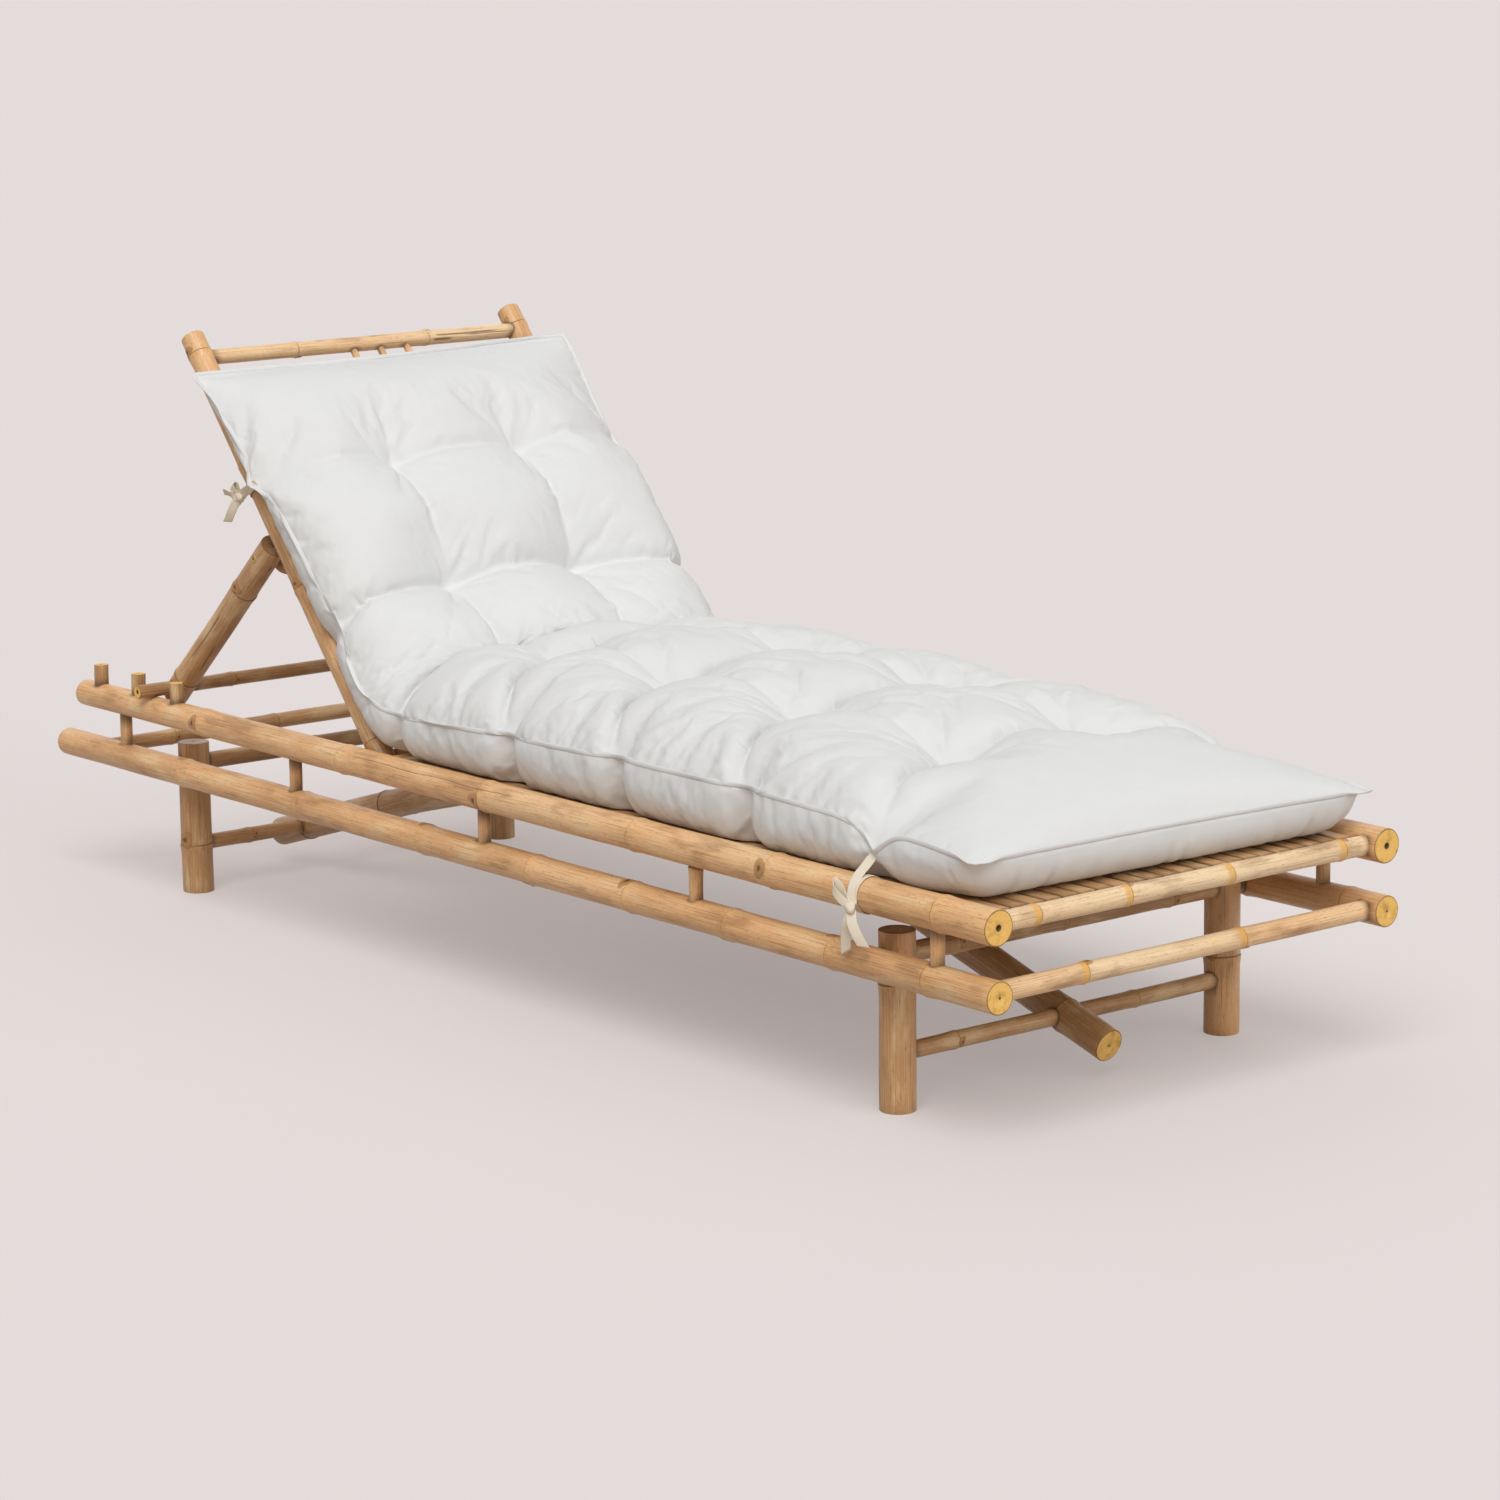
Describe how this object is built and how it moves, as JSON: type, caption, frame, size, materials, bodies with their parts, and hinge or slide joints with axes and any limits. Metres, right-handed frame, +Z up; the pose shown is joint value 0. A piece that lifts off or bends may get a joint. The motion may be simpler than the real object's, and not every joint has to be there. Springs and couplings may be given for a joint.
{
  "type": "sun lounger",
  "caption": "Bamboo sun lounger: slatted bed of round poles on short legs, hinged backrest on a swinging prop, and a tufted white cushion tied to the poles.",
  "frame": {"origin": "on the floor under the centre of the bed's long rails", "axes": "+Y along the bed towards the head end, +Z up, +X to the sitter's left"},
  "size_m": [0.692, 2, 0.7993],
  "materials": {
    "bamboo_pole": "satin",
    "bamboo_slat": "satin",
    "bamboo_pin": "matte",
    "cushion_cotton": "matte",
    "tie_tape": "matte"
  },
  "bodies": {
    "bed_frame": {"brace_front": "bamboo_pole", "brace_pins": "bamboo_pin", "brace_rear": "bamboo_pole", "foot_cross_rail_lower": "bamboo_pole", "foot_cross_rail_upper": "bamboo_pole", "head_cross_rail": "bamboo_pole", "hinge_bar": "bamboo_pole", "leg_bar_front": "bamboo_pole", "leg_bar_rear": "bamboo_pole", "leg_front_left": "bamboo_pole", "leg_front_right": "bamboo_pole", "leg_rear_left": "bamboo_pole", "leg_rear_right": "bamboo_pole", "lower_rail_left": "bamboo_pole", "lower_rail_right": "bamboo_pole", "notch_pegs_left": "bamboo_pole", "notch_pegs_right": "bamboo_pole", "rail_post_left_1": "bamboo_pole", "rail_post_left_2": "bamboo_pole", "rail_post_left_3": "bamboo_pole", "rail_post_left_4": "bamboo_pole", "rail_post_left_5": "bamboo_pole", "rail_post_right_1": "bamboo_pole", "rail_post_right_2": "bamboo_pole", "rail_post_right_3": "bamboo_pole", "rail_post_right_4": "bamboo_pole", "rail_post_right_5": "bamboo_pole", "seat_cushion": "cushion_cotton", "seat_head_rail": "bamboo_pole", "seat_rail_1": "bamboo_pole", "seat_rail_2": "bamboo_pole", "seat_rail_3": "bamboo_pole", "seat_rail_4": "bamboo_pole", "seat_slats": "bamboo_slat", "stretcher_front": "bamboo_pole", "stretcher_rear": "bamboo_pole", "tie_front_left": "tie_tape", "tie_front_right": "tie_tape", "upper_rail_left": "bamboo_pole", "upper_rail_right": "bamboo_pole"},
    "backrest": {"back_cushion": "cushion_cotton", "back_rail_high": "bamboo_pole", "back_rail_low": "bamboo_pole", "back_rail_mid": "bamboo_pole", "back_rods": "bamboo_pole", "back_slats": "bamboo_slat", "back_top_bar": "bamboo_pole", "hanger_pins": "bamboo_pin", "prop_hanger_left": "bamboo_pole", "prop_hanger_right": "bamboo_pole", "stile_left": "bamboo_pole", "stile_right": "bamboo_pole", "tie_back_left": "tie_tape", "tie_back_right": "tie_tape"},
    "prop": {"prop_foot_bar": "bamboo_pole", "prop_leg_left": "bamboo_pole", "prop_leg_right": "bamboo_pole", "prop_lock_pins": "bamboo_pin", "prop_pivot_rail": "bamboo_pole"}
  },
  "joints": [
    {"name": "backrest_hinge", "type": "hinge", "parent": "bed_frame", "child": "backrest", "pos_m": [0, 0.257, 0.264], "axis": [1, 0, 0], "range_deg": [0, 25]},
    {"name": "prop_hinge", "type": "hinge", "parent": "backrest", "child": "prop", "pos_m": [0, 0.52726, 0.50089], "axis": [1, 0, 0], "range_deg": [0, 92]}
  ]
}
